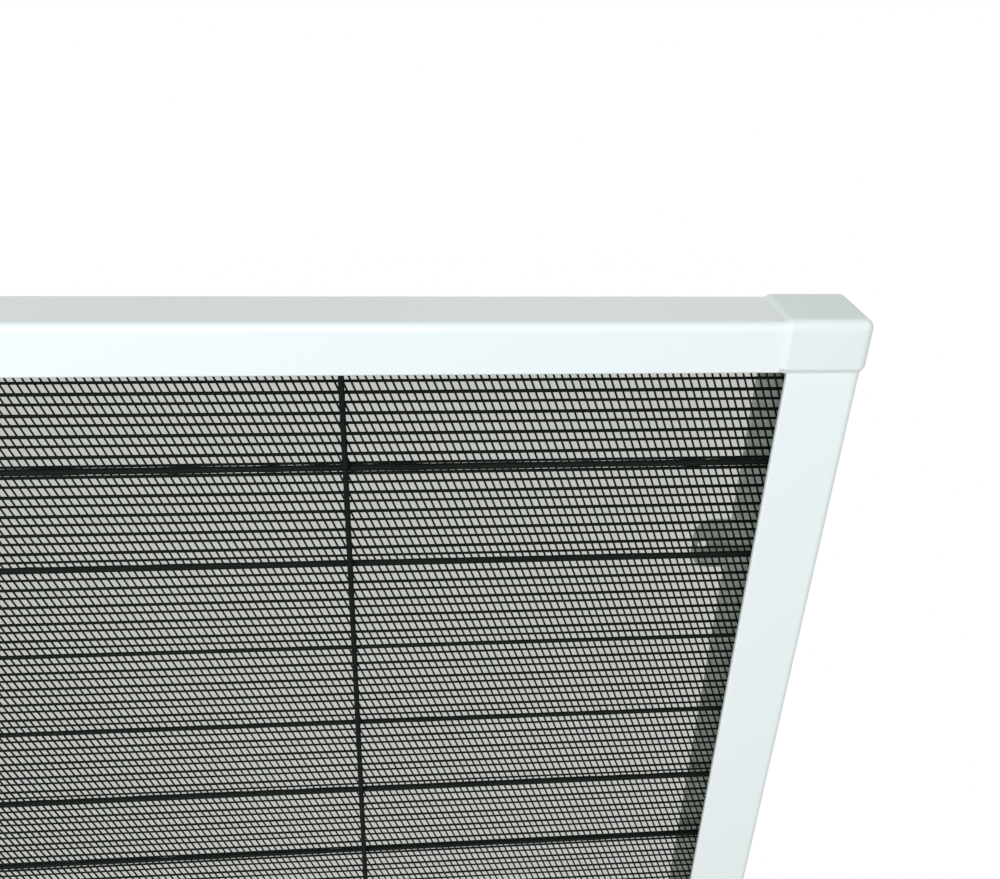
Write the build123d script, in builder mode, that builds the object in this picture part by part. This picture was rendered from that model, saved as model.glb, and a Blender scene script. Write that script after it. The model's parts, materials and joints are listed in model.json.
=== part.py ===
# Pleated insect screen for a roof window: a slim frame of four extruded rails with moulded corner
# caps, a pleated mesh drawn out flat between the top rail and a sliding pull bar, and two guide
# cords stretched from rail to rail that the pull bar runs along.
# Millimetres. X is the width, Z is up, the room side faces -Y, and the fixing plane is Y = 0.
import os

from build123d import *

# Frame rails
screen_width = 550.0
screen_height = 780.0
rail_depth = 14.6
side_face = 14.0
end_face = 9.6
wall = 1.2
web = 1.0
spigot_chamber = 3.0
lip = 1.0
mouth = 6.0
edge_radius = 1.5
mouth_radius = 0.4

# Corner caps
cap_proud = 0.6
cap_bevel = 1.0
cap_lap = 1.6
cap_radius = 1.8
spigot_length = 25.0
spigot_clearance = 0.15
spigot_lead = 0.8

# Mounting lugs and their rivets
lug_thickness = 1.5
lug_width = 12.0
lug_reach = 7.4
lug_drop = 47.4
lug_corner_radius = 4.0
lug_hole_margin = 2.2
lug_hole_radius = 1.2
lug_inset = 0.5
rivet_spacing = 6.0
rivet_radius = 1.2
rivet_head_radius = 2.2
rivet_tail_radius = 1.4
rivet_tail_length = 0.8
rivet_clearance = 0.05

# Pile seals on the back of the frame
seal_width = 6.0
seal_lug_gap = 0.5
seal_end_inset = 3.0

# Pleated mesh
fold_pitch = 21.45
first_fold = 22.6
fold_depth = 0.3
fold_line_width = 0.85
fold_line_height = 0.35
weft_pitch = 2.15
weft_width = 0.6
weft_height = 0.2
mesh_thickness = 0.3
mesh_side_cover = 5.5
mesh_clearance = 0.2
gap_margin = 4.0
gap_edge = 0.15

# Strips that hold the mesh ends
strip_clearance = 0.15
strip_play = 0.3
strip_end_gap = 0.5
groove_depth = 1.6
tongue_inset = 1.0

# Pull bar
bar_depth = 10.0
bar_height = 16.0
bar_end_gap = 1.0
bar_lower_channel = 2.0
close_gap = 0.3

# End glides
glide_clearance = 0.3
glide_spigot_length = 15.0
glide_top_gap = 0.5
glide_edge_radius = 1.0

# Finger grip and its screws
grip_length = 70.0
grip_height = 13.0
grip_base = 2.0
grip_reach = 7.0
grip_lip = 2.2
grip_hollow = 2.0
grip_corner = 0.8
grip_screw_spacing = 50.0
screw_radius = 1.1
screw_head_radius = 2.4
screw_length = 7.0
screw_rise = 8.4
screw_clearance = 0.05

# Guide cords, their crimped stops, blocks and eyelets
cord_radius = 0.6
cord_inset = 80.0
cord_gap = 0.3
cord_clearance = 0.3
stop_radius = 1.2
stop_length = 1.4
stop_pocket_depth = 1.5
stop_clearance = 0.1
crimp_clearance = 0.05
block_length = 12.0
eyelet_radius = 1.5
eyelet_flange_radius = 2.1
eyelet_flange = 0.6
eyelet_clearance = 0.05

# Closing strips
strip_block_gap = 2.0

# Places that the sizes give
half_width = screen_width / 2
half_height = screen_height / 2
inner_x = half_width - side_face
inner_z = half_height - end_face
seam_x = inner_x - cap_lap
back_y = -lug_thickness
front_y = back_y - rail_depth
mid_y = back_y - rail_depth / 2
channel_depth = rail_depth - 2 * wall
end_channel = end_face - wall - spigot_chamber - web - lip
side_channel = side_face - wall - spigot_chamber - web
chamber_x = half_width - wall - spigot_chamber / 2
chamber_z = half_height - wall - spigot_chamber / 2
end_rail_length = 2 * seam_x
side_rail_length = 2 * inner_z

bar_bottom = -inner_z + close_gap
bar_top = bar_bottom + bar_height
bar_length = 2 * (inner_x - bar_end_gap)
bar_channel_depth = bar_depth - 2 * wall
bar_chamber_bottom = bar_bottom + lip + bar_lower_channel + web
bar_chamber = bar_height - 2 * lip - 2 * web - bar_lower_channel - end_channel
bar_chamber_top = bar_chamber_bottom + bar_chamber
bar_front_y = mid_y - bar_depth / 2

strip_height = end_channel - strip_play
top_strip_bottom = inner_z + lip
bar_strip_top = bar_top - lip
strip_half_length = seam_x - strip_end_gap
bar_strip_half_length = bar_length / 2 - strip_end_gap
mesh_top = top_strip_bottom + groove_depth - mesh_clearance
mesh_bottom = bar_strip_top - groove_depth + mesh_clearance
mesh_half_width = inner_x + mesh_side_cover
mesh_front = fold_depth / 2 + mesh_thickness / 2 + fold_line_height
mesh_back = fold_depth / 2 + mesh_thickness / 2

cord_x = inner_x - cord_inset
cord_y = mid_y - mesh_front - cord_gap - cord_radius
cord_hole_radius = cord_radius + cord_clearance
stop_pocket_radius = stop_radius + stop_clearance
top_stop_bottom = top_strip_bottom + strip_height - stop_pocket_depth
block_top = -top_strip_bottom
bottom_stop_top = block_top - strip_height + stop_pocket_depth
cord_top = top_stop_bottom + stop_length
cord_bottom = bottom_stop_top - stop_length

lug_z = inner_z - lug_drop
lug_tip_x = inner_x - lug_reach
lug_hole_x = lug_tip_x + lug_hole_margin
sides = (("left", -1), ("right", 1))
ends = (("top", 1), ("bottom", -1))


def end_rail(end):
    # Closed chamber for the corner spigots, then a lipped channel that opens to the mesh
    with BuildPart() as rail:
        with BuildSketch(Plane.YZ.offset(-end_rail_length / 2)) as section:
            with Locations((mid_y, end * (half_height - end_face / 2))):
                Rectangle(rail_depth, end_face)
            outer = section.vertices().sort_by(Axis.Y, reverse=end > 0)[:2]
            fillet(outer, edge_radius)
            with Locations((mid_y, end * chamber_z)):
                Rectangle(channel_depth, spigot_chamber, mode=Mode.SUBTRACT)
            with Locations((mid_y, end * (inner_z + lip + end_channel / 2))):
                Rectangle(channel_depth, end_channel, mode=Mode.SUBTRACT)
            with Locations((mid_y, end * (inner_z + lip / 2))):
                Rectangle(mouth, lip, mode=Mode.SUBTRACT)
            inner = section.vertices().group_by(Axis.Y)[0 if end > 0 else -1]
            fillet(inner, mouth_radius)
        extrude(amount=end_rail_length)
    return rail.part


def side_rail(side):
    # Closed chamber at the outside, then an open channel that the glides and the mesh edge run in
    with BuildPart() as rail:
        with BuildSketch(Plane.XY.offset(-side_rail_length / 2)) as section:
            with Locations((side * (half_width - side_face / 2), mid_y)):
                Rectangle(side_face, rail_depth)
            outer = section.vertices().sort_by(Axis.X, reverse=side > 0)[:2]
            fillet(outer, edge_radius)
            with Locations((side * chamber_x, mid_y)):
                Rectangle(spigot_chamber, channel_depth, mode=Mode.SUBTRACT)
            with Locations((side * (inner_x + side_channel / 2), mid_y)):
                Rectangle(side_channel, channel_depth, mode=Mode.SUBTRACT)
            inner = section.vertices().group_by(Axis.X)[0 if side > 0 else -1]
            fillet(inner, mouth_radius)
        extrude(amount=side_rail_length)
        with Locations(*[back_plane(x, back_y, z) for x, z in rivet_places(side)]):
            Hole(rivet_radius + rivet_clearance, depth=wall + spigot_chamber)
    return rail.part


def back_plane(x, y, z):
    return Plane(origin=(x, y, z), x_dir=(1, 0, 0), z_dir=(0, 1, 0))


def front_plane(x, y, z):
    return Plane(origin=(x, y, z), x_dir=(1, 0, 0), z_dir=(0, -1, 0))


def rivet_places(side):
    return [
        (side * chamber_x, end * lug_z + step * rivet_spacing / 2)
        for name, end in ends
        for step in (-1, 1)
    ]


def corner_cap(side, end):
    # Block a little proud of the rails with bevelled joints, and a spigot for the chamber of each rail
    block_width = side_face + cap_lap + cap_proud
    block_height = end_face + cap_proud
    block_depth = rail_depth + cap_proud
    spigot_depth = channel_depth - 2 * spigot_clearance
    spigot_thickness = spigot_chamber - 2 * spigot_clearance
    with BuildPart() as cap:
        with Locations((side * (seam_x + block_width / 2), back_y - block_depth / 2,
                        end * (inner_z + block_height / 2))):
            Box(block_width, block_depth, block_height)
        seams = cap.faces().sort_by(Axis.X, reverse=side < 0)[0].edges()
        seams += cap.faces().sort_by(Axis.Z, reverse=end < 0)[0].edges()
        fillet([edge for edge in cap.edges() if edge not in seams], cap_radius)
        inner_corner = (side * seam_x, mid_y, end * inner_z)
        for joint in (Axis.X, Axis.Z):
            face = cap.faces().sort_by(joint, reverse=(side if joint == Axis.X else end) < 0)[0]
            rim = [edge for edge in face.edges() if edge.distance_to(inner_corner) > cap_proud]
            chamfer(rim, cap_proud, cap_bevel, reference=face)
        with Locations((side * (seam_x - spigot_length / 2), mid_y, end * chamber_z)):
            Box(spigot_length, spigot_depth, spigot_thickness)
        chamfer(cap.faces().sort_by(Axis.X, reverse=side < 0)[0].edges(), spigot_lead)
        with Locations((side * chamber_x, mid_y, end * (inner_z - spigot_length / 2))):
            Box(spigot_thickness, spigot_depth, spigot_length)
        chamfer(cap.faces().sort_by(Axis.Z, reverse=end < 0)[0].edges(), spigot_lead)
    return cap.part


def mounting_lug(side, end):
    # Flat tab behind the side rail: a rounded end with the screw hole, riveted to the rail's back
    plate_length = half_width - lug_inset - lug_tip_x
    with BuildPart() as lug:
        with BuildSketch(Plane.XZ) as plate:
            with Locations((side * (lug_tip_x + plate_length / 2), end * lug_z)):
                Rectangle(plate_length, lug_width)
            fillet(plate.vertices().sort_by(Axis.X, reverse=side < 0)[:2], lug_corner_radius)
            with Locations((side * lug_hole_x, end * lug_z)):
                Circle(lug_hole_radius, mode=Mode.SUBTRACT)
        extrude(amount=lug_thickness)
        places = [place for place in rivet_places(side) if place[1] * end > 0]
        with Locations(*[back_plane(x, 0, z) for x, z in places]):
            CounterSinkHole(rivet_radius + rivet_clearance, rivet_head_radius + rivet_clearance,
                            counter_sink_angle=90)
    return lug.part


def lug_rivets():
    # Flush countersunk rivets, each with its tail spread inside the side rail's closed chamber
    head_depth = rivet_head_radius - rivet_radius
    tail_y = -(lug_thickness + wall)
    with BuildPart() as rivet:
        with BuildSketch(Plane.XY):
            with BuildLine():
                Polyline(
                    (0, 0),
                    (rivet_head_radius, 0),
                    (rivet_radius, -head_depth),
                    (rivet_radius, tail_y),
                    (rivet_tail_radius, tail_y),
                    (rivet_tail_radius, tail_y - rivet_tail_length),
                    (0, tail_y - rivet_tail_length),
                    close=True,
                )
            make_face()
        revolve(axis=Axis.Y)
    with BuildPart() as rivets:
        with Locations(*[(x, 0, z) for name, side in sides for x, z in rivet_places(side)]):
            add(rivet.part)
    return rivets.part


def end_seal(end):
    seal_length = 2 * (half_width - side_face / 2) - seal_width
    with BuildPart() as seal:
        with Locations((0, back_y / 2, end * (half_height - end_face / 2))):
            Box(seal_length, lug_thickness, seal_width)
    return seal.part


def side_seal(side):
    # One strip from corner to corner, cut away where the lugs lie
    seal_length = 2 * (half_height - seal_end_inset)
    with BuildPart() as seal:
        with Locations((side * (half_width - side_face / 2), back_y / 2, 0)):
            Box(seal_width, lug_thickness, seal_length)
        with Locations(*[(side * (half_width - side_face / 2), back_y / 2, end * lug_z)
                         for name, end in ends]):
            Box(side_face, rail_depth, lug_width + 2 * seal_lug_gap, mode=Mode.SUBTRACT)
    return seal.part


def mesh_strip(half_length, depth, face_z, outward, stops):
    # Bar with a groove for the mesh end and holes for the cords; the mesh leaves through face_z
    far_z = face_z + outward * strip_height
    with BuildPart() as strip:
        with BuildSketch(Plane.YZ.offset(-half_length)):
            with Locations((mid_y, (face_z + far_z) / 2)):
                Rectangle(depth - 2 * strip_clearance, strip_height)
            with Locations((mid_y + (mesh_back - mesh_front) / 2, face_z + outward * groove_depth / 2)):
                Rectangle(mesh_front + mesh_back + 2 * mesh_clearance, groove_depth, mode=Mode.SUBTRACT)
        extrude(amount=2 * half_length)
        with Locations(*[(side * cord_x, cord_y, max(face_z, far_z)) for name, side in sides]):
            if stops:
                CounterBoreHole(cord_hole_radius, stop_pocket_radius, stop_pocket_depth)
            else:
                Hole(cord_hole_radius)
    return strip.part


def pleated_mesh():
    # One thin pleated wall with a fold line at each front fold, a weft ridge at each row and a long
    # gap in the middle of each pleat, and a tongue at each end for its strip
    folds = []
    fold_z = inner_z - first_fold
    while fold_z > bar_top + fold_pitch / 2:
        folds.append(fold_z)
        fold_z -= fold_pitch

    def middle(z):
        phase = abs(((z - folds[0]) / fold_pitch) % 1.0 - 0.5)
        return mid_y + fold_depth * (0.5 - 2 * phase)

    rows = []
    row_z = mesh_top - weft_pitch
    while row_z > mesh_bottom + weft_pitch / 2:
        if min(abs(row_z - z) for z in folds) > fold_line_width / 2 + weft_width:
            rows.append(row_z)
        row_z -= weft_pitch

    ridges = [(z, fold_line_width, fold_line_height) for z in folds]
    ridges += [(z, weft_width, weft_height) for z in rows]
    ridges.sort(reverse=True)
    half = mesh_thickness / 2
    outline = [(middle(mesh_top) + half, mesh_top), (middle(mesh_top) - half, mesh_top)]
    for z, width, height in ridges:
        upper = z + width / 2
        lower = z - width / 2
        crest = middle(z) - half - height
        outline += [(middle(upper) - half, upper), (crest, upper), (crest, lower), (middle(lower) - half, lower)]
    outline += [(middle(mesh_bottom) - half, mesh_bottom), (middle(mesh_bottom) + half, mesh_bottom)]
    bends = [z + step * fold_pitch / 2 for z in folds for step in (0, 1)]
    bends = [z for z in sorted(bends) if mesh_bottom < z < mesh_top]
    outline += [(middle(z) + half, z) for z in bends]

    gap_rows = []
    for upper_z, lower_z in zip(rows, rows[1:]):
        centre = (upper_z + lower_z) / 2
        if upper_z - lower_z < 1.5 * weft_pitch and bar_top < centre < inner_z:
            gap_rows.append(centre)
    pleat_middles = [z + fold_pitch / 2 for z in folds]
    gaps = [min(gap_rows, key=lambda z: abs(z - pleat)) for pleat in pleat_middles]
    gap_height = weft_pitch - weft_width - 2 * gap_edge
    outer_gap = inner_x - cord_x - 2 * gap_margin
    middle_gap = 2 * (cord_x - gap_margin)

    with BuildPart() as mesh:
        with BuildSketch(Plane.YZ.offset(-mesh_half_width)):
            with BuildLine():
                Polyline(*outline, close=True)
            make_face()
        extrude(amount=2 * mesh_half_width)
        tongue_ends = (
            (strip_half_length - tongue_inset, inner_z - mesh_clearance, mesh_top),
            (bar_strip_half_length - tongue_inset, mesh_bottom, bar_top + mesh_clearance),
        )
        for tongue_x, low_z, high_z in tongue_ends:
            cut_length = mesh_half_width - tongue_x
            with Locations(*[(side * (tongue_x + cut_length / 2), mid_y, (low_z + high_z) / 2)
                             for name, side in sides]):
                Box(cut_length, rail_depth, high_z - low_z, mode=Mode.SUBTRACT)
        with Locations(*[(0, mid_y, z) for z in gaps]):
            Box(middle_gap, rail_depth, gap_height, mode=Mode.SUBTRACT)
        with Locations(*[(side * (inner_x + cord_x) / 2, mid_y, z) for name, side in sides for z in gaps]):
            Box(outer_gap, rail_depth, gap_height, mode=Mode.SUBTRACT)
    return mesh.part


def pull_bar():
    # Extrusion with a lipped channel above for the mesh strip, a closed chamber for the glides and
    # a lipped channel below for the closing strip
    with BuildPart() as bar:
        with BuildSketch(Plane.YZ.offset(-bar_length / 2)) as section:
            with Locations((mid_y, (bar_bottom + bar_top) / 2)):
                Rectangle(bar_depth, bar_height)
            fillet(section.vertices(), edge_radius / 2)
            with Locations((mid_y, bar_strip_top - end_channel / 2)):
                Rectangle(bar_channel_depth, end_channel, mode=Mode.SUBTRACT)
            with Locations((mid_y, (bar_chamber_bottom + bar_chamber_top) / 2)):
                Rectangle(bar_channel_depth, bar_chamber, mode=Mode.SUBTRACT)
            with Locations((mid_y, bar_bottom + lip + bar_lower_channel / 2)):
                Rectangle(bar_channel_depth, bar_lower_channel, mode=Mode.SUBTRACT)
            with Locations((mid_y, bar_bottom + lip / 2), (mid_y, bar_top - lip / 2)):
                Rectangle(mouth, lip, mode=Mode.SUBTRACT)
        extrude(amount=bar_length)
        with Locations(*[(side * cord_x, cord_y, bar_chamber_top + web) for name, side in sides]):
            Hole(eyelet_radius + eyelet_clearance, depth=bar_chamber + 2 * web)
        with Locations(*[front_plane(x, bar_front_y, bar_bottom + screw_rise) for x in screw_places()]):
            Hole(screw_radius + screw_clearance, depth=wall + screw_clearance)
    return bar.part


def screw_places():
    return (-grip_screw_spacing / 2, grip_screw_spacing / 2)


def end_glide(side):
    # Shoe on the end of the pull bar that runs inside the side rail's channel, and a spigot in the bar
    bar_end = bar_length / 2
    shoe_end = inner_x + side_channel - glide_clearance
    shoe_height = bar_height - glide_top_gap
    with BuildPart() as glide:
        with Locations((side * (bar_end + shoe_end) / 2, mid_y, bar_bottom + shoe_height / 2)):
            Box(shoe_end - bar_end, channel_depth - 2 * glide_clearance, shoe_height)
        fillet(glide.edges().filter_by(Axis.X), glide_edge_radius)
        with Locations((side * (bar_end - glide_spigot_length / 2), mid_y,
                        (bar_chamber_bottom + bar_chamber_top) / 2)):
            Box(glide_spigot_length, bar_channel_depth - 2 * spigot_clearance,
                bar_chamber - 2 * spigot_clearance)
        chamfer(glide.faces().sort_by(Axis.X, reverse=side < 0)[0].edges(), spigot_lead)
    return glide.part


def pull_grip():
    # Base plate on the bar's front with a finger lip along its lower edge
    grip_bottom = bar_bottom + (bar_height - grip_height) / 2
    base_front = bar_front_y - grip_base
    lip_front = bar_front_y - grip_reach
    with BuildPart() as grip:
        with BuildSketch(Plane.YZ.offset(-grip_length / 2)) as section:
            with BuildLine():
                Polyline(
                    (bar_front_y, grip_bottom),
                    (lip_front, grip_bottom),
                    (lip_front, grip_bottom + grip_lip),
                    (base_front, grip_bottom + grip_lip),
                    (base_front, grip_bottom + grip_height),
                    (bar_front_y, grip_bottom + grip_height),
                    close=True,
                )
            make_face()
            inside = section.vertices().sort_by_distance((base_front, grip_bottom + grip_lip))[0]
            fillet(inside, grip_hollow)
            tips = section.vertices().group_by(Axis.X)[0]
            tips += section.vertices().sort_by_distance((base_front, grip_bottom + grip_height))[:1]
            fillet(tips, grip_corner)
        extrude(amount=grip_length)
        corners = grip.faces().filter_by(Axis.X).edges().filter_by(Axis.Y)
        fillet(corners, grip_corner)
        with Locations(*[front_plane(x, base_front, bar_bottom + screw_rise) for x in screw_places()]):
            CounterSinkHole(screw_radius + screw_clearance, screw_head_radius + screw_clearance,
                            counter_sink_angle=90)
    return grip.part


def grip_screws():
    # Countersunk screws flush with the grip's base plate
    head_depth = screw_head_radius - screw_radius
    with BuildPart() as screw:
        with BuildSketch(Plane.XY):
            with BuildLine():
                Polyline(
                    (0, 0),
                    (screw_head_radius, 0),
                    (screw_radius, head_depth),
                    (screw_radius, screw_length - screw_radius),
                    (0, screw_length),
                    close=True,
                )
            make_face()
        revolve(axis=Axis.Y)
    with BuildPart() as screws:
        with Locations(*[(x, bar_front_y - grip_base, bar_bottom + screw_rise) for x in screw_places()]):
            add(screw.part)
    return screws.part


def guide_cord(side):
    with BuildPart() as cord:
        with BuildSketch(Plane.XY.offset(cord_bottom)):
            with Locations((side * cord_x, cord_y)):
                Circle(cord_radius)
        extrude(amount=cord_top - cord_bottom)
    return cord.part


def cord_stop(side, bottom_z):
    with BuildPart() as stop:
        with BuildSketch(Plane.XY.offset(bottom_z)):
            with Locations((side * cord_x, cord_y)):
                Circle(stop_radius)
                Circle(cord_radius + crimp_clearance, mode=Mode.SUBTRACT)
        extrude(amount=stop_length)
    return stop.part


def cord_block(side):
    # Block under the bottom rail's lips, with a pocket below for the cord's stop
    with BuildPart() as block:
        with Locations((side * cord_x, mid_y, block_top - strip_height / 2)):
            Box(block_length, channel_depth - 2 * strip_clearance, strip_height)
        pocket = Plane(origin=(side * cord_x, cord_y, block_top - strip_height), z_dir=(0, 0, -1))
        with Locations(pocket):
            CounterBoreHole(cord_hole_radius, stop_pocket_radius, stop_pocket_depth)
    return block.part


def cord_eyelet(side):
    # Flanged bush through both webs of the pull bar
    bush_bottom = bar_chamber_bottom - web
    with BuildPart() as eyelet:
        with BuildSketch(Plane.XY.offset(bush_bottom)):
            with Locations((side * cord_x, cord_y)):
                Circle(eyelet_radius)
                Circle(cord_hole_radius, mode=Mode.SUBTRACT)
        extrude(amount=bar_chamber + 2 * web)
        with BuildSketch(Plane.XY.offset(bush_bottom - eyelet_flange)):
            with Locations((side * cord_x, cord_y)):
                Circle(eyelet_flange_radius)
                Circle(cord_hole_radius, mode=Mode.SUBTRACT)
        extrude(amount=eyelet_flange)
    return eyelet.part


def closing_strip(depth, height, low_z):
    # Flat strip between the two cords
    strip_length = 2 * (cord_x - block_length / 2 - strip_block_gap)
    with BuildPart() as strip:
        with Locations((0, mid_y, low_z + height / 2)):
            Box(strip_length, depth - 2 * strip_clearance, height)
    return strip.part


pieces = {}
for end_name, end in ends:
    pieces[f"{end_name}_rail"] = end_rail(end)
    pieces[f"{end_name}_back_seal"] = end_seal(end)
for side_name, side in sides:
    pieces[f"{side_name}_side_rail"] = side_rail(side)
    pieces[f"{side_name}_back_seal"] = side_seal(side)
    pieces[f"{side_name}_end_glide"] = end_glide(side)
    pieces[f"{side_name}_guide_cord"] = guide_cord(side)
    pieces[f"{side_name}_cord_top_stop"] = cord_stop(side, top_stop_bottom)
    pieces[f"{side_name}_cord_bottom_stop"] = cord_stop(side, cord_bottom)
    pieces[f"{side_name}_cord_block"] = cord_block(side)
    pieces[f"{side_name}_cord_eyelet"] = cord_eyelet(side)
    for end_name, end in ends:
        pieces[f"{end_name}_{side_name}_corner_cap"] = corner_cap(side, end)
        pieces[f"{end_name}_{side_name}_mounting_lug"] = mounting_lug(side, end)
pieces["lug_rivets"] = lug_rivets()
pieces["pleated_mesh"] = pleated_mesh()
pieces["top_mesh_strip"] = mesh_strip(strip_half_length, channel_depth, top_strip_bottom, 1, True)
pieces["bar_mesh_strip"] = mesh_strip(bar_strip_half_length, bar_channel_depth, bar_strip_top, -1, False)
pieces["pull_bar"] = pull_bar()
pieces["pull_grip"] = pull_grip()
pieces["grip_screws"] = grip_screws()
pieces["magnet_strip"] = closing_strip(channel_depth, strip_height, block_top - strip_height)
pieces["steel_strip"] = closing_strip(bar_channel_depth, bar_lower_channel - strip_play, bar_bottom + lip)

os.makedirs("parts", exist_ok=True)
for name, piece in pieces.items():
    piece.label = name
    export_step(piece, f"parts/{name}.step")
print("cord length", round(cord_top - cord_bottom, 1), "mesh length", round(mesh_top - mesh_bottom, 1))
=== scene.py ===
import json
import math

import bmesh
import bpy
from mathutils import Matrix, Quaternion, Vector


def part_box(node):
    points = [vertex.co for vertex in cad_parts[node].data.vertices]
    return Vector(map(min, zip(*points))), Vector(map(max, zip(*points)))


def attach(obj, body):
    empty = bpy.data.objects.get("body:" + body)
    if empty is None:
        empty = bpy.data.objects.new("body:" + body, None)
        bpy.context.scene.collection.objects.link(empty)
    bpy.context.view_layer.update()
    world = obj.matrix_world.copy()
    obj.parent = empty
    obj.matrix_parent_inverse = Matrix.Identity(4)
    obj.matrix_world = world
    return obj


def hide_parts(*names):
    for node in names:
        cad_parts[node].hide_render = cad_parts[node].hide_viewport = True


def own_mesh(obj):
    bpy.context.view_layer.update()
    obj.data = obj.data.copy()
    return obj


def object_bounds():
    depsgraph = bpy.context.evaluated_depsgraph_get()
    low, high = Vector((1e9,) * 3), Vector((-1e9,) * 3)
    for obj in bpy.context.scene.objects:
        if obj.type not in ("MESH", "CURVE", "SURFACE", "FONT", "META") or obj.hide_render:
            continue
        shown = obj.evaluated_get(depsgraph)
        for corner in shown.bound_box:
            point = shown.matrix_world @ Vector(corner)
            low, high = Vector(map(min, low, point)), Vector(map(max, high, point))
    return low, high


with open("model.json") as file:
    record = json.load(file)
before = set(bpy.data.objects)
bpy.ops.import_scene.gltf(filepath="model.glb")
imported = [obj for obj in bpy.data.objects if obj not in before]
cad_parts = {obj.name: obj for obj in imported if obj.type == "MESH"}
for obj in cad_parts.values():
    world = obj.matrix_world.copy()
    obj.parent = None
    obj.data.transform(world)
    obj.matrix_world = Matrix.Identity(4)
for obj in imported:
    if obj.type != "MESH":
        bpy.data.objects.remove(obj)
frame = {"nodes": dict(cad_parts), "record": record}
cadLow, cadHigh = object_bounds()
nodes = frame["nodes"]
scene = bpy.context.scene
scene.view_settings.view_transform = "Standard"
mm = 0.001
print("frame loaded:", len(nodes), "nodes")

meshLow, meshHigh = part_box("pleated_mesh")
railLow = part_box("top_rail")[0]
sideLow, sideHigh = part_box("right_side_rail")
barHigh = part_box("pull_bar")[1]
midDepth = (sideLow.y + sideHigh.y) / 2


def named(sockets, label):
    return next(s for s in sockets if s.enabled and s.name == label)


def put(tree, kind, inputs=None, **settings):
    made = tree.nodes.new(kind)
    for key, value in settings.items():
        setattr(made, key, value)
    for key, value in (inputs or {}).items():
        socket = named(made.inputs, key) if isinstance(key, str) else made.inputs[key]
        if isinstance(value, bpy.types.NodeSocket):
            tree.links.new(value, socket)
        else:
            socket.default_value = value
    return made


def calc(tree, operation, first, second=0.0, third=0.0):
    return put(tree, "ShaderNodeMath", {0: first, 1: second, 2: third}, operation=operation).outputs[0]


def product(tree, first, *others):
    for other in others:
        first = calc(tree, "MULTIPLY", first, other)
    return first


def joined(tree, x, y, z):
    return put(tree, "ShaderNodeCombineXYZ", {"X": x, "Y": y, "Z": z}).outputs[0]


def newTree(name, kind, inputs, outputs):
    tree = bpy.data.node_groups.new(name, kind)
    for label, socketType, value in inputs:
        socket = tree.interface.new_socket(label, in_out="INPUT", socket_type=socketType)
        if value is not None:
            socket.default_value = value
    for label, socketType in outputs:
        tree.interface.new_socket(label, in_out="OUTPUT", socket_type=socketType)
    return tree, tree.nodes.new("NodeGroupInput"), tree.nodes.new("NodeGroupOutput")


def growTree(name, inputs):
    kinds = {float: "NodeSocketFloat", int: "NodeSocketInt"}
    listed = [("Base", "NodeSocketGeometry", None)]
    listed += [(label, kinds[type(value)], value) for label, value in inputs.items()]
    return newTree(name, "GeometryNodeTree", listed, [("Geometry", "NodeSocketGeometry")])


def closeTree(tree, ending, parts, material, smooth=True):
    together = put(tree, "GeometryNodeJoinGeometry")
    for part in parts:
        tree.links.new(part.outputs[0], together.inputs[0])
    whole = put(tree, "GeometryNodeRealizeInstances", {"Geometry": together.outputs[0]})
    shaded = put(tree, "GeometryNodeSetShadeSmooth", {"Geometry": whole.outputs[0], "Shade Smooth": smooth})
    painted = put(tree, "GeometryNodeSetMaterial", {"Geometry": shaded.outputs[0], "Material": material})
    tree.links.new(painted.outputs[0], ending.inputs[0])


def kept(tree, geometry, label, value):
    made = put(tree, "GeometryNodeCaptureAttribute")
    made.capture_items.new("FLOAT", label)
    tree.links.new(geometry, made.inputs[0])
    tree.links.new(value, made.inputs[label])
    return made.outputs[0], made.outputs[label]


def linked(name, data):
    piece = bpy.data.objects.new(name, data)
    scene.collection.objects.link(piece)
    return piece


def evaluated(piece):
    bpy.context.view_layer.update()
    return bpy.data.meshes.new_from_object(piece.evaluated_get(bpy.context.evaluated_depsgraph_get()))


def grown(name, tree, sizes, base=None):
    holder = linked(name + "Holder", base or bpy.data.meshes.new(name + "Holder"))
    modifier = holder.modifiers.new(name, "NODES")
    modifier.node_group = tree
    for item in tree.interface.items_tree:
        if item.in_out == "INPUT" and item.name in sizes:
            modifier[item.identifier] = sizes[item.name]
    mesh = evaluated(holder)
    holder.modifiers.clear()
    bpy.data.objects.remove(holder)
    mesh.name = name
    print(name, "triangles:", sum(len(face.vertices) - 2 for face in mesh.polygons))
    return linked(name, mesh)


grainLook = {"grainRough": 0.55, "driftDetail": 3.0, "driftRough": 0.5}


def buildGrain(look):
    # even speckled skin: a fine grain, a slow drift of tone and a normal for the bump
    inputs = [
        ("Scale", "NodeSocketFloat", 1500.0), ("Detail", "NodeSocketFloat", 2.0),
        ("Drift scale", "NodeSocketFloat", 14.0),
        ("Bump", "NodeSocketFloat", 0.1), ("Depth", "NodeSocketFloat", 0.00002),
    ]
    outputs = [("Grain", "NodeSocketFloat"), ("Drift", "NodeSocketFloat"), ("Normal", "NodeSocketVector")]
    tree, start, end = newTree("surfaceGrain", "ShaderNodeTree", inputs, outputs)
    size = start.outputs
    place = named(put(tree, "ShaderNodeTexCoord").outputs, "Object")
    grain = put(tree, "ShaderNodeTexNoise", {
        "Vector": place, "Scale": size["Scale"], "Detail": size["Detail"], "Roughness": look["grainRough"],
    })
    drift = put(tree, "ShaderNodeTexNoise", {
        "Vector": place, "Scale": size["Drift scale"],
        "Detail": look["driftDetail"], "Roughness": look["driftRough"],
    })
    bump = put(tree, "ShaderNodeBump", {
        "Strength": size["Bump"], "Distance": size["Depth"], "Height": grain.outputs[0],
    })
    tree.links.new(grain.outputs[0], end.inputs["Grain"])
    tree.links.new(drift.outputs[0], end.inputs["Drift"])
    tree.links.new(bump.outputs[0], end.inputs["Normal"])
    return tree


surfaceGrain = buildGrain(grainLook)


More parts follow.
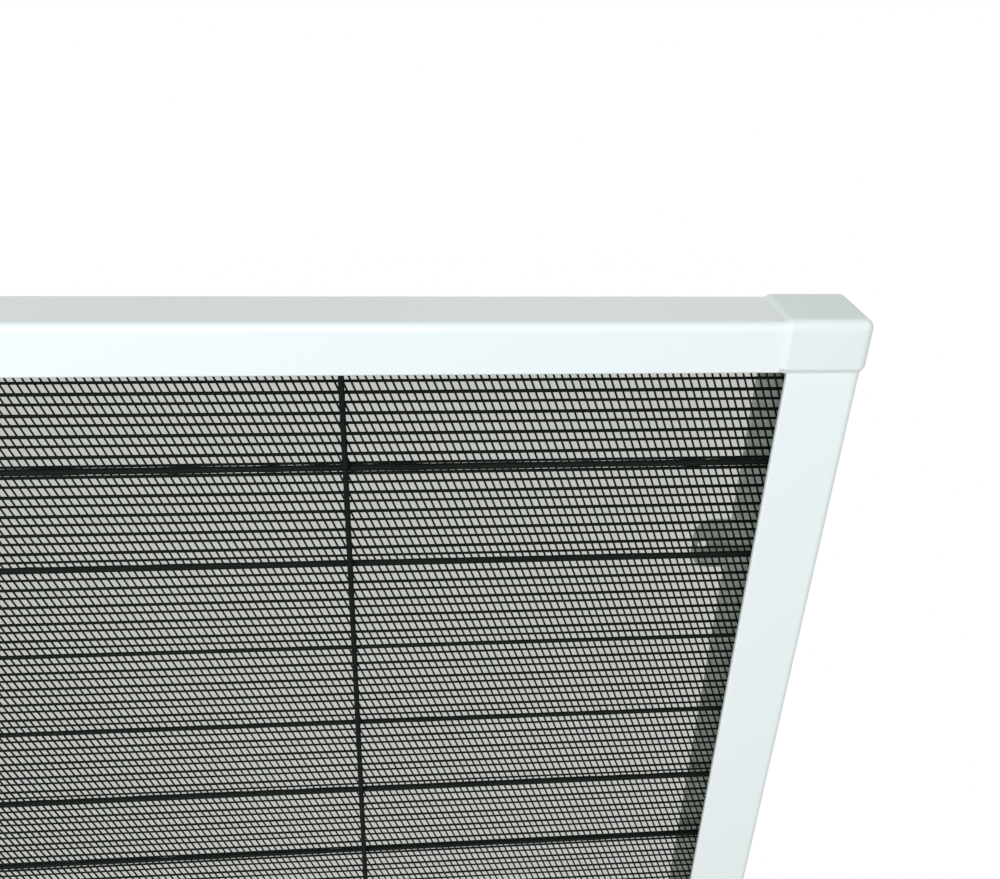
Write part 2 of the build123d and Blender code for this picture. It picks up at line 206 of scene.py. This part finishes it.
def newMaterial(name, **sockets):
    material = bpy.data.materials.new(name)
    material.use_nodes = True
    tree = material.node_tree
    shader = tree.nodes["Principled BSDF"]
    for key, value in sockets.items():
        shader.inputs[key.replace("_", " ")].default_value = value
    return material, tree, shader


def blendColour(tree, factor, first, second):
    ends = {"A": first, "B": second}
    for key, value in ends.items():
        if not isinstance(value, bpy.types.NodeSocket):
            ends[key] = (*value, 1)
    return named(put(tree, "ShaderNodeMix", {"Factor": factor, **ends}, data_type="RGBA").outputs, "Result")


def spread(tree, value, low, high, fromLow=0.3, fromHigh=0.7):
    sizes = {"Value": value, "From Min": fromLow, "From Max": fromHigh, "To Min": low, "To Max": high}
    return put(tree, "ShaderNodeMapRange", sizes).outputs[0]


def grainMaterial(name, look, **sockets):
    material, tree, shader = newMaterial(name, **sockets)
    group = put(tree, "ShaderNodeGroup", node_tree=surfaceGrain)
    for label in ("Scale", "Detail", "Drift scale", "Bump", "Depth"):
        group.inputs[label].default_value = look[label]
    tone = blendColour(tree, spread(tree, group.outputs["Drift"], 0, 1), look["dark"], look["light"])
    tree.links.new(tone, shader.inputs["Base Color"])
    rough = spread(tree, group.outputs["Grain"], look["rough"][0], look["rough"][1])
    tree.links.new(rough, shader.inputs["Roughness"])
    tree.links.new(group.outputs["Normal"], shader.inputs["Normal"])
    return material


powderCoatLook = {
    "dark": (0.840, 0.885, 0.915), "light": (0.853, 0.898, 0.928), "rough": (0.34, 0.42),
    "Scale": 1400.0, "Detail": 1.0, "Drift scale": 9.0, "Bump": 0.12, "Depth": 0.00002,
}
capLook = {
    "dark": (0.797, 0.851, 0.865), "light": (0.809, 0.863, 0.877), "rough": (0.40, 0.50),
    "Scale": 4200.0, "Detail": 2.0, "Drift scale": 20.0, "Bump": 0.16, "Depth": 0.00001,
}
# dull zinc grey for the lugs, kept dark and green-tinted as painted shade for the shade they lie in behind
# the mesh
dullZincShadeLook = {
    "dark": (0.48, 0.52, 0.46), "light": (0.59, 0.63, 0.56), "rough": (0.42, 0.60),
    "Scale": 900.0, "Detail": 4.0, "Drift scale": 160.0, "Bump": 0.15, "Depth": 0.00002,
}
aluminiumLook = {
    "dark": (0.46, 0.47, 0.48), "light": (0.60, 0.61, 0.62), "rough": (0.36, 0.50),
    "Scale": 2400.0, "Detail": 3.0, "Drift scale": 300.0, "Bump": 0.12, "Depth": 0.00001,
}
greyPlasticLook = {
    "dark": (0.48, 0.49, 0.49), "light": (0.55, 0.56, 0.56), "rough": (0.42, 0.56),
    "Scale": 3600.0, "Detail": 2.0, "Drift scale": 30.0, "Bump": 0.15, "Depth": 0.00001,
}
zincLook = {
    "dark": (0.50, 0.51, 0.53), "light": (0.68, 0.69, 0.70), "rough": (0.24, 0.42),
    "Scale": 1800.0, "Detail": 4.0, "Drift scale": 200.0, "Bump": 0.10, "Depth": 0.00001,
}
magnetLook = {
    "dark": (0.035, 0.033, 0.032), "light": (0.055, 0.052, 0.050), "rough": (0.60, 0.80),
    "Scale": 2600.0, "Detail": 3.0, "Drift scale": 60.0, "Bump": 0.25, "Depth": 0.00002,
}
threadLook = {
    "dark": (0.0025, 0.0050, 0.0025), "light": (0.0050, 0.0080, 0.0050), "rough": (0.65, 0.80),
    "Scale": 3000.0, "Detail": 2.0, "Drift scale": 90.0, "Bump": 0.10, "Depth": 0.00001,
}
pileLook = {
    "dark": (0.20, 0.205, 0.21), "light": (0.36, 0.365, 0.37), "rough": (0.80, 0.95),
    "Scale": 2200.0, "Detail": 3.0, "Drift scale": 900.0, "Bump": 0.30, "Depth": 0.00003,
}
cordLook = {
    "dark": (0.0025, 0.0045, 0.0025), "light": (0.0070, 0.0100, 0.0070), "rough": (0.70, 0.88),
    "Scale": 5200.0, "Detail": 3.0, "Drift scale": 2600.0, "Bump": 0.35, "Depth": 0.00003,
}
# painted shade: the darker, streaked grey-green painted inside the side rails' channels
channelShadeLook = {
    "dark": (0.47, 0.52, 0.44), "light": (0.57, 0.62, 0.53), "streak": 240.0, "streakDraw": 0.02,
    "wall": 1.2 * mm, "depth": 9.3 * mm, "backEdge": 0.3 * mm, "slack": 0.1 * mm,
}


def paintedShadeChannelMaterial(name, look, channel):
    # paint outside, and painted shade inside the channel: a darker, streaked grey-green that stands for the
    # shade falling in the channel
    material = grainMaterial(name, look)
    tree = material.node_tree
    shader = tree.nodes["Principled BSDF"]
    place = named(put(tree, "ShaderNodeTexCoord").outputs, "Object")
    spot = put(tree, "ShaderNodeSeparateXYZ", {0: place}).outputs
    across = calc(tree, "ABSOLUTE", spot["X"])
    inside = calc(tree, "LESS_THAN", across, sideLow.x + channel["depth"])
    front = calc(tree, "GREATER_THAN", spot["Y"], sideLow.y + channel["wall"] - channel["slack"])
    back = calc(tree, "LESS_THAN", spot["Y"], sideHigh.y - channel["backEdge"])
    drawn = joined(tree, spot["X"], spot["Y"], product(tree, spot["Z"], channel["streakDraw"]))
    streaks = put(tree, "ShaderNodeTexNoise", {"Vector": drawn, "Scale": channel["streak"]})
    # the painted shade tone for the inside of the channel
    paintedShade = blendColour(tree, spread(tree, streaks.outputs[0], 0, 1), channel["dark"], channel["light"])
    paint = shader.inputs["Base Color"].links[0].from_socket
    tone = blendColour(tree, product(tree, inside, front, back), paint, paintedShade)
    tree.links.new(tone, shader.inputs["Base Color"])
    return material


whitePowderCoat = grainMaterial("whitePowderCoat", powderCoatLook)
# side rails: powder coat with painted shade inside the channel
sideCoatPaintedShade = paintedShadeChannelMaterial("sideCoatPaintedShade", powderCoatLook, channelShadeLook)
whiteCapPlastic = grainMaterial("whiteCapPlastic", capLook)
# lug material: dull zinc, with painted shade in its darker tone
dullZincShade = grainMaterial("dullZincShade", dullZincShadeLook, Metallic=0.3)
bareAluminium = grainMaterial("bareAluminium", aluminiumLook, Metallic=1.0)
greyPlastic = grainMaterial("greyPlastic", greyPlasticLook)
zincPlate = grainMaterial("zincPlate", zincLook, Metallic=1.0)
magnetRubber = grainMaterial("magnetRubber", magnetLook)
blackThread = grainMaterial("blackThread", threadLook, Specular_IOR_Level=0.12)
greyPile = grainMaterial("greyPile", pileLook)
blackCord = grainMaterial("blackCord", cordLook, Specular_IOR_Level=0.12)

slotMaterials = {
    "white_powder_coat": whitePowderCoat, "white_moulded_plastic": whiteCapPlastic,
    "dull_zinc_steel": dullZincShade, "bare_aluminium": bareAluminium, "zinc_screw": zincPlate,
    "grey_moulded_plastic": greyPlastic, "magnet_rubber": magnetRubber,
    "grey_pile": greyPile, "black_cord": blackCord, "black_mesh": blackThread,
}
for subpart in frame["record"]["subparts"]:
    node = nodes[subpart["node"]]
    node.data.materials.clear()
    node.data.materials.append(slotMaterials[subpart["material_slot"]])
# the side rails take the coat with painted shade inside the channel
for name in ("left_side_rail", "right_side_rail"):
    nodes[name].data.materials[0] = sideCoatPaintedShade
print("materials:", len(slotMaterials) + 1)

# pleated mesh: straight weft rows, leaning warp threads and a heavier line at each fold
meshLook = {
    "rowPitch": 2.148 * mm, "firstRow": 4.4 * mm, "rowRadius": 0.34 * mm, "rowFlat": 0.35, "rowUneven": 0.10,
    "columnPitch": 1.497 * mm, "columnRadius": 0.20 * mm, "columnLean": 0.385,
    "pairShift": 0.02 * mm, "weaveShift": 0.10 * mm,
    "foldPitch": 21.45 * mm, "firstFold": 22.6 * mm, "foldRadius": 0.54 * mm, "foldStep": 3.0 * mm,
    "foldWander": 0.10 * mm, "wanderScale": 160.0, "foldSwell": 0.25, "swellScale": 420.0,
    "foldUneven": 1.15 * mm, "foldUnevenTurn": 0.62, "foldPress": 0.20, "foldPressTurn": 1.57,
    "threadSides": 6, "tongueInset": 1.0 * mm, "tongueGap": 0.2 * mm,
}


def buildThreadTree(look, material):
    tree, start, end = growTree("screenThreads", {
        "Width": 0.5, "Height": 0.7, "Top": 0.4, "Depth": 0.0, "Rows": 10, "First row": 0.38,
        "Columns": 10, "Folds": 3, "First fold": 0.36,
        "Tongue": 0.25, "Upper tongue": 0.38, "Lower tongue": -0.36,
    })
    size = start.outputs
    index = put(tree, "GeometryNodeInputIndex").outputs[0]
    position = put(tree, "GeometryNodeInputPosition").outputs[0]
    spot = put(tree, "ShaderNodeSeparateXYZ", {0: position}).outputs
    parity = calc(tree, "MULTIPLY_ADD", calc(tree, "MODULO", index, 2.0), 2.0, -1.0)
    halfWidth = product(tree, size["Width"], 0.5)

    # weft: flattened threads, every second one a little forward and a little thicker
    rowPoints = put(tree, "GeometryNodeMeshLine", {
        "Count": size["Rows"], "Offset": (0, 0, -look["rowPitch"]),
        "Start Location": joined(tree, 0.0, size["Depth"], size["First row"]),
    })
    rowForward = product(tree, parity, look["weaveShift"])
    rowShift = joined(tree, 0.0, rowForward, product(tree, parity, look["pairShift"]))
    rowPlaces = put(tree, "GeometryNodeSetPosition", {"Geometry": rowPoints.outputs[0], "Offset": rowShift})
    rowBar = put(tree, "GeometryNodeMeshCylinder", {
        "Vertices": look["threadSides"], "Radius": look["rowRadius"], "Depth": size["Width"],
    })
    rowScale = calc(tree, "MULTIPLY_ADD", parity, -look["rowUneven"], 1.0)
    above = calc(tree, "GREATER_THAN", spot["Z"], size["Upper tongue"])
    below = calc(tree, "LESS_THAN", spot["Z"], size["Lower tongue"])
    narrower = calc(tree, "SUBTRACT", calc(tree, "DIVIDE", size["Tongue"], halfWidth), 1.0)
    rowLength = calc(tree, "MULTIPLY_ADD", calc(tree, "ADD", above, below), narrower, 1.0)
    rows = put(tree, "GeometryNodeInstanceOnPoints", {
        "Points": rowPlaces.outputs[0], "Instance": rowBar.outputs[0],
        "Rotation": (0, math.pi / 2, 0),
        "Scale": joined(tree, rowScale, product(tree, rowScale, look["rowFlat"]), rowLength),
    })

    # warp, cut off at the sides of the mesh and beside the tongues in the two strips
    lean = product(tree, size["Height"], look["columnLean"])
    firstColumn = product(tree, calc(tree, "ADD", halfWidth, lean), -1.0)
    columnPoints = put(tree, "GeometryNodeMeshLine", {
        "Count": size["Columns"], "Offset": (look["columnPitch"], 0, 0),
        "Start Location": joined(tree, firstColumn, size["Depth"], size["Top"]),
    })
    topX = spot["X"]
    upperCut = calc(tree, "DIVIDE", calc(tree, "SUBTRACT", size["Top"], size["Upper tongue"]), size["Height"])
    lowerCut = calc(tree, "DIVIDE", calc(tree, "SUBTRACT", size["Top"], size["Lower tongue"]), size["Height"])
    pastTop = calc(tree, "GREATER_THAN", calc(tree, "ABSOLUTE", topX), size["Tongue"])
    footX = calc(tree, "ADD", topX, lean)
    pastFoot = calc(tree, "GREATER_THAN", calc(tree, "ABSOLUTE", footX), size["Tongue"])
    leftCut = calc(tree, "DIVIDE", calc(tree, "SUBTRACT", product(tree, halfWidth, -1.0), topX), lean)
    rightCut = calc(tree, "DIVIDE", calc(tree, "SUBTRACT", halfWidth, topX), lean)
    upper = calc(tree, "MAXIMUM", leftCut, product(tree, pastTop, upperCut))
    foot = calc(tree, "MULTIPLY_ADD", pastFoot, calc(tree, "SUBTRACT", lowerCut, 1.0), 1.0)
    lower = calc(tree, "MINIMUM", rightCut, foot)
    middle = product(tree, calc(tree, "ADD", upper, lower), 0.5)
    share = calc(tree, "SUBTRACT", lower, upper)
    slope = math.hypot(1, look["columnLean"])
    run = product(tree, share, size["Height"], slope)
    stored, length = kept(tree, columnPoints.outputs[0], "Length", run)
    columnShift = joined(tree, product(tree, middle, lean), 0.0, product(tree, middle, size["Height"], -1.0))
    columnPlaces = put(tree, "GeometryNodeSetPosition", {"Geometry": stored, "Offset": columnShift})
    columnBar = put(tree, "GeometryNodeMeshCylinder", {
        "Vertices": look["threadSides"], "Radius": look["columnRadius"], "Depth": 1.0,
    })
    columns = put(tree, "GeometryNodeInstanceOnPoints", {
        "Points": columnPlaces.outputs[0], "Instance": columnBar.outputs[0],
        "Rotation": (0, -math.atan(look["columnLean"]), 0), "Scale": joined(tree, 1.0, 1.0, length),
    })

    # folds: pressed more or less hard, and each a little uneven
    foldPoints = put(tree, "GeometryNodeMeshLine", {
        "Count": size["Folds"], "Offset": (0, 0, -look["foldPitch"]),
        "Start Location": joined(tree, 0.0, size["Depth"], size["First fold"]),
    })
    numbered, number = kept(tree, foldPoints.outputs[0], "Fold", index)
    sway = calc(tree, "SINE", product(tree, number, look["foldUnevenTurn"]))
    foldPlaces = put(tree, "GeometryNodeSetPosition", {
        "Geometry": numbered, "Offset": joined(tree, 0.0, 0.0, product(tree, sway, -look["foldUneven"])),
    })
    foldLine = put(tree, "GeometryNodeCurvePrimitiveLine", {
        "Start": joined(tree, product(tree, halfWidth, -1.0), 0.0, 0.0),
        "End": joined(tree, halfWidth, 0.0, 0.0),
    })
    foldCurve = put(tree, "GeometryNodeResampleCurve", {
        "Curve": foldLine.outputs[0], "Length": look["foldStep"],
    }, mode="LENGTH")
    foldRun = put(tree, "GeometryNodeInstanceOnPoints", {
        "Points": foldPlaces.outputs[0], "Instance": foldCurve.outputs[0],
    })
    foldWhole = put(tree, "GeometryNodeRealizeInstances", {"Geometry": foldRun.outputs[0]})
    wander = put(tree, "ShaderNodeTexNoise", {"Scale": look["wanderScale"], "Detail": 2.0}).outputs["Color"]
    away = put(tree, "ShaderNodeVectorMath", {0: wander, 1: (0.5, 0.5, 0.5)}, operation="SUBTRACT")
    offset = put(tree, "ShaderNodeVectorMath", {
        0: away.outputs[0], 1: (0.0, look["foldWander"], look["foldWander"]),
    }, operation="MULTIPLY")
    foldMoved = put(tree, "GeometryNodeSetPosition", {
        "Geometry": foldWhole.outputs[0], "Offset": offset.outputs[0],
    })
    swell = put(tree, "ShaderNodeTexNoise", {"Scale": look["swellScale"], "Detail": 1.0}).outputs[0]
    swelled = calc(tree, "MULTIPLY_ADD", calc(tree, "SUBTRACT", swell, 0.5), look["foldSwell"] * 2, 1.0)
    press = calc(tree, "COSINE", product(tree, number, look["foldPressTurn"]))
    pressed = calc(tree, "MULTIPLY_ADD", press, look["foldPress"], 1.0)
    foldRound = put(tree, "GeometryNodeCurvePrimitiveCircle", {
        "Resolution": look["threadSides"], "Radius": look["foldRadius"],
    })
    folds = put(tree, "GeometryNodeCurveToMesh", {
        "Curve": foldMoved.outputs[0], "Profile Curve": foldRound.outputs[0],
        "Scale": product(tree, swelled, pressed), "Fill Caps": True,
    })
    closeTree(tree, end, (rows, columns, folds), material)
    return tree


meshWidth = meshHigh.x - meshLow.x
meshHeight = meshHigh.z - meshLow.z
rowsAbove = math.floor((meshHigh.z - railLow.z + meshLook["firstRow"]) / meshLook["rowPitch"])
firstRow = railLow.z - meshLook["firstRow"] + rowsAbove * meshLook["rowPitch"]
firstFold = railLow.z - meshLook["firstFold"]
screenMesh = grown("pleatedMesh", buildThreadTree(meshLook, blackThread), {
    "Width": meshWidth, "Height": meshHeight, "Top": meshHigh.z, "Depth": midDepth,
    "Rows": math.floor((firstRow - meshLow.z) / meshLook["rowPitch"]) + 1, "First row": firstRow,
    "Columns": math.floor((meshWidth + meshHeight * meshLook["columnLean"]) / meshLook["columnPitch"]),
    "Folds": math.floor((firstFold - barHigh.z) / meshLook["foldPitch"] + 0.5), "First fold": firstFold,
    "Tongue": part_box("top_mesh_strip")[1].x - meshLook["tongueInset"],
    "Upper tongue": railLow.z - meshLook["tongueGap"], "Lower tongue": barHigh.z + meshLook["tongueGap"],
})
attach(screenMesh, "screen_frame")
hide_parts("pleated_mesh")
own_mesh(screenMesh)

# guide cords: a round braid along each taut route
braidLook = {
    "strands": 4, "pitch": 2.6 * mm, "relief": 0.07 * mm, "ringStep": 0.4 * mm, "sides": 20,
    "routeShares": (0, 0.3, 0.7, 1),
}


def buildBraidTree(look, material):
    tree, start, end = growTree("braidedCord", {"Radius": 0.5 * mm})
    curve = put(tree, "GeometryNodeMeshToCurve", {"Mesh": start.outputs["Base"]})
    rings = put(tree, "GeometryNodeResampleCurve", {
        "Curve": curve.outputs[0], "Length": look["ringStep"],
    }, mode="LENGTH")
    along = put(tree, "GeometryNodeSplineParameter").outputs
    run, distance = kept(tree, rings.outputs[0], "Along", along["Length"])
    body = calc(tree, "SUBTRACT", start.outputs["Radius"], look["relief"])
    circle = put(tree, "GeometryNodeCurvePrimitiveCircle", {"Resolution": look["sides"], "Radius": body})
    profile, around = kept(tree, circle.outputs[0], "Around", along["Factor"])
    tube = put(tree, "GeometryNodeCurveToMesh", {"Curve": run, "Profile Curve": profile, "Fill Caps": True})
    turn = product(tree, around, look["strands"])
    rise = product(tree, distance, 1 / look["pitch"])
    left = calc(tree, "COSINE", product(tree, calc(tree, "ADD", turn, rise), 2 * math.pi))
    right = calc(tree, "COSINE", product(tree, calc(tree, "SUBTRACT", turn, rise), 2 * math.pi))
    height = product(tree, calc(tree, "MAXIMUM", calc(tree, "MAXIMUM", left, right), 0.0), look["relief"])
    normal = put(tree, "GeometryNodeInputNormal").outputs[0]
    relief = put(tree, "ShaderNodeVectorMath", {0: normal, "Scale": height}, operation="SCALE")
    braid = put(tree, "GeometryNodeSetPosition", {"Geometry": tube.outputs[0], "Offset": relief.outputs[0]})
    closeTree(tree, end, (braid,), material)
    return tree


def cordRoute(name, look, low, high):
    x = (low.x + high.x) / 2
    y = (low.y + high.y) / 2
    data = bpy.data.curves.new(name, "CURVE")
    data.dimensions = "3D"
    spline = data.splines.new("NURBS")
    spline.points.add(len(look["routeShares"]) - 1)
    for point, share in zip(spline.points, look["routeShares"]):
        point.co = (x, y, high.z + (low.z - high.z) * share, 1)
    spline.order_u = 3
    spline.use_endpoint_u = True
    holder = linked(name, data)
    route = evaluated(holder)
    bpy.data.objects.remove(holder)
    return route


braidTree = buildBraidTree(braidLook, blackCord)
for side in ("left", "right"):
    node = side + "_guide_cord"
    cordLow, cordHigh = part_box(node)
    route = cordRoute(side + "CordRoute", braidLook, cordLow, cordHigh)
    thickness = cordHigh.x - cordLow.x
    cord = grown(side + "GuideCord", braidTree, {"Radius": thickness / 2}, route)
    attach(cord, "screen_frame")
    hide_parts(node)

# back seals: a thin backing with a short dense pile
sealLook = {
    "backing": 0.5 * mm, "tuftHeight": 0.9 * mm, "tuftRadius": 0.30 * mm, "tuftShortest": 0.75,
    "perSquareMetre": 1.9e6, "facing": 0.9, "lean": 0.4, "tuftSides": 3, "seed": 7,
}


def buildSealTree(look, material):
    tree, start, end = growTree("pileSeal", {"Foot": 0.0})
    level = calc(tree, "ADD", start.outputs["Foot"], look["backing"])
    spot = put(tree, "ShaderNodeSeparateXYZ", {0: put(tree, "GeometryNodeInputPosition").outputs[0]}).outputs
    lowered = joined(tree, spot["X"], calc(tree, "MINIMUM", spot["Y"], level), spot["Z"])
    backing = put(tree, "GeometryNodeSetPosition", {"Geometry": start.outputs["Base"], "Position": lowered})
    normal = put(tree, "GeometryNodeInputNormal").outputs[0]
    backward = put(tree, "ShaderNodeSeparateXYZ", {0: normal}).outputs["Y"]
    outward = calc(tree, "GREATER_THAN", backward, look["facing"])
    points = put(tree, "GeometryNodeDistributePointsOnFaces", {
        "Mesh": backing.outputs[0], "Selection": outward,
        "Density": look["perSquareMetre"], "Seed": look["seed"],
    })
    tilt = put(tree, "FunctionNodeRandomValue", {
        "Min": (-look["lean"], -look["lean"], 0.0), "Max": (look["lean"], look["lean"], math.pi),
        "Seed": look["seed"] + 1,
    }, data_type="FLOAT_VECTOR")
    turned = put(tree, "FunctionNodeEulerToRotation", {0: named(tilt.outputs, "Value")})
    leaning = put(tree, "FunctionNodeRotateRotation", {
        "Rotation": points.outputs["Rotation"], "Rotate By": turned.outputs[0],
    }, rotation_space="LOCAL")
    length = put(tree, "FunctionNodeRandomValue", {
        "Min": look["tuftShortest"], "Max": 1.0, "Seed": look["seed"] + 2,
    })
    tuft = put(tree, "GeometryNodeMeshCone", {
        "Vertices": look["tuftSides"], "Radius Top": 0.0,
        "Radius Bottom": look["tuftRadius"], "Depth": look["tuftHeight"],
    })
    tufts = put(tree, "GeometryNodeInstanceOnPoints", {
        "Points": points.outputs["Points"], "Instance": tuft.outputs["Mesh"], "Rotation": leaning.outputs[0],
        "Scale": joined(tree, 1.0, 1.0, named(length.outputs, "Value")),
    })
    closeTree(tree, end, (backing, tufts), material, smooth=False)
    return tree


sealNames = ["top_back_seal", "bottom_back_seal", "left_back_seal", "right_back_seal"]
strips = bmesh.new()
for name in sealNames:
    strips.from_mesh(nodes[name].data)
stripMesh = bpy.data.meshes.new("sealStrips")
strips.to_mesh(stripMesh)
strips.free()
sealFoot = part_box("top_back_seal")[0].y
pileSeals = grown("pileSeals", buildSealTree(sealLook, greyPile), {"Foot": sealFoot}, stripMesh)
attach(pileSeals, "screen_frame")
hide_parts(*sealNames)

# grip screws: countersunk heads with a cross recess
screwLook = {
    "armWidth": 0.40 * mm, "armLength": 1.40 * mm, "recess": 1.0 * mm, "taper": 0.55, "rimDrop": 0.10 * mm,
    "shank": 1.1 * mm, "tipShare": 0.2, "sides": 40,
}


def loop(mesh, centre, corners, depth):
    return [mesh.verts.new((centre.x + x, depth, centre.z + z)) for x, z in corners]


def loft(mesh, first, second, smooth):
    for i in range(len(first)):
        j = (i + 1) % len(first)
        mesh.faces.new((first[i], first[j], second[j], second[i])).smooth = smooth


def edgesOf(mesh, ring):
    return [mesh.edges.get((ring[i - 1], ring[i])) for i in range(len(ring))]


def addScrew(mesh, look, centre, face, tip, headRadius):
    turns = [2 * math.pi * i / look["sides"] for i in range(look["sides"])]
    circle = [(math.cos(t), math.sin(t)) for t in turns]
    w = look["armWidth"]
    a = look["armLength"]
    arm = [(a, -w), (a, w), (w, w)]
    cross = arm + [(-z, x) for x, z in arm] + [(-x, -z) for x, z in arm] + [(z, -x) for x, z in arm]
    neck = face + headRadius - look["shank"]
    profile = [
        (headRadius - look["rimDrop"], face), (headRadius, face + look["rimDrop"]), (look["shank"], neck),
        (look["shank"], tip - look["shank"]), (look["tipShare"] * look["shank"], tip),
    ]
    rings = [loop(mesh, centre, [(r * x, r * z) for x, z in circle], y) for r, y in profile]
    for first, second in zip(rings, rings[1:]):
        loft(mesh, first, second, True)
    mesh.faces.new(rings[-1])
    mouth = loop(mesh, centre, cross, face)
    narrowed = [(look["taper"] * x, look["taper"] * z) for x, z in cross]
    floor = loop(mesh, centre, narrowed, face + look["recess"])
    loft(mesh, mouth, floor, False)
    mesh.faces.new(floor)
    bmesh.ops.triangle_fill(mesh, use_beauty=True, edges=edgesOf(mesh, rings[0]) + edgesOf(mesh, mouth))


def buildScrews(look, material):
    low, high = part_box("grip_screws")
    headRadius = (high.z - low.z) / 2
    mesh = bmesh.new()
    for x in (low.x + headRadius, high.x - headRadius):
        addScrew(mesh, look, Vector((x, 0, (low.z + high.z) / 2)), low.y, high.y, headRadius)
    bmesh.ops.recalc_face_normals(mesh, faces=mesh.faces)
    data = bpy.data.meshes.new("gripScrews")
    mesh.to_mesh(data)
    mesh.free()
    data.materials.append(material)
    return linked("gripScrews", data)


gripScrews = buildScrews(screwLook, zincPlate)
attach(gripScrews, "sliding_bar")
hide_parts("grip_screws")
print("pieces: mesh, cords, seals and screws")

# stage: grey card behind the mesh, pale floor, light and camera
cardLook = {"grey": (0.545, 0.560, 0.535), "depth": -0.7 * mm, "edge": 0.5 * mm}


def seenRays(tree):
    path = put(tree, "ShaderNodeLightPath").outputs
    seen = calc(tree, "MAXIMUM", path["Is Camera Ray"], path["Is Glossy Ray"])
    return calc(tree, "MAXIMUM", seen, path["Is Transmission Ray"])


def buildCard(look):
    innerX = sideLow.x + look["edge"]
    top = railLow.z + look["edge"]
    mesh = bpy.data.meshes.new("backdropCard")
    corners = [(-innerX, meshLow.z), (innerX, meshLow.z), (innerX, top), (-innerX, top)]
    mesh.from_pydata([(x, look["depth"], z) for x, z in corners], [], [(0, 1, 2, 3)])
    material = bpy.data.materials.new("cardGrey")
    material.use_nodes = True
    tree = material.node_tree
    tree.nodes.remove(tree.nodes["Principled BSDF"])
    glow = put(tree, "ShaderNodeEmission", {"Color": (*look["grey"], 1), "Strength": 1.0})
    plain = put(tree, "ShaderNodeBsdfDiffuse", {"Color": (*look["grey"], 1)})
    clear = put(tree, "ShaderNodeBsdfTransparent")
    seen = put(tree, "ShaderNodeMixShader", {0: seenRays(tree), 1: plain.outputs[0], 2: glow.outputs[0]})
    behind = put(tree, "ShaderNodeNewGeometry").outputs["Backfacing"]
    whole = put(tree, "ShaderNodeMixShader", {0: behind, 1: seen.outputs[0], 2: clear.outputs[0]})
    tree.links.new(whole.outputs[0], tree.nodes["Material Output"].inputs[0])
    mesh.materials.append(material)
    return linked("backdropCard", mesh)


card = buildCard(cardLook)
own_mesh(card)

floorLook = {"pale": (0.86, 0.86, 0.855), "rough": 0.9, "clear": 0.24, "radius": 0.44, "sides": 96}


def buildFloor(look):
    mesh = bmesh.new()
    bmesh.ops.create_circle(mesh, cap_ends=True, segments=look["sides"], radius=look["radius"])
    bmesh.ops.translate(mesh, verts=mesh.verts, vec=(0, (cadLow.y + cadHigh.y) / 2, cadLow.z))
    data = bpy.data.meshes.new("studioFloor")
    mesh.to_mesh(data)
    mesh.free()
    material, tree, shader = newMaterial("floorPale", Roughness=look["rough"])
    shader.inputs["Base Color"].default_value = (*look["pale"], 1)
    place = named(put(tree, "ShaderNodeTexCoord").outputs, "Object")
    flat = put(tree, "ShaderNodeVectorMath", {0: place, 1: (1, 1, 0)}, operation="MULTIPLY")
    far = put(tree, "ShaderNodeVectorMath", {0: flat.outputs[0]}, operation="LENGTH")
    fade = spread(tree, far.outputs["Value"], 1.0, 0.0, look["clear"], look["radius"])
    tree.links.new(fade, shader.inputs["Alpha"])
    data.materials.append(material)
    return linked("studioFloor", data)


buildFloor(floorLook)

lampLook = {
    "keyLamp": {"place": (-0.12, -0.866, 0.793), "aim": (0.19, -0.0145, 0.37), "size": 0.35, "power": 9.0,
                "tint": (0.885, 0.893, 1.0)},
    "backLamp": {"place": (0.5, 1.6, 0.0), "aim": (0, 0, 0), "size": 1.6, "power": 7.5, "tint": (1, 1, 1)},
}
worldLook = {"ambient": 0.37, "tint": (0.93, 1.0, 0.75)}


def addLamp(name, look):
    data = bpy.data.lights.new(name, "AREA")
    data.color = look["tint"]
    data.shape = "DISK"
    data.size = look["size"]
    data.energy = look["power"]
    lamp = linked(name, data)
    lamp.location = look["place"]
    lamp.rotation_mode = "QUATERNION"
    lamp.rotation_quaternion = (Vector(look["aim"]) - lamp.location).to_track_quat("-Z", "Y")


for name, look in lampLook.items():
    addLamp(name, look)


def buildWorld(look):
    world = bpy.data.worlds.new("paleStudio")
    scene.world = world
    world.use_nodes = True
    tree = world.node_tree
    soft = tree.nodes["Background"]
    soft.inputs["Color"].default_value = (*look["tint"], 1)
    soft.inputs["Strength"].default_value = look["ambient"]
    white = put(tree, "ShaderNodeBackground", {"Color": (1, 1, 1, 1), "Strength": 1.0})
    whole = put(tree, "ShaderNodeMixShader", {0: seenRays(tree), 1: soft.outputs[0], 2: white.outputs[0]})
    tree.links.new(whole.outputs[0], tree.nodes["World Output"].inputs[0])


buildWorld(worldLook)

cameraLook = {
    "place": (0.19303, -0.17330, 0.45464), "aim": (0.20955, -0.01530, 0.36711), "roll": 2.16, "lens": 35.77,
    "sensor": 36.0, "nearest": 0.005,
}
cameraData = bpy.data.cameras.new("photoCamera")
cameraData.lens = cameraLook["lens"]
cameraData.sensor_width = cameraLook["sensor"]
cameraData.clip_start = cameraLook["nearest"]
camera = linked("photoCamera", cameraData)
camera.location = cameraLook["place"]
camera.rotation_mode = "QUATERNION"
sight = (Vector(cameraLook["aim"]) - camera.location).to_track_quat("-Z", "Y")
camera.rotation_quaternion = sight @ Quaternion((0, 0, 1), math.radians(cameraLook["roll"]))
scene.camera = camera
print("stage, light and camera set")
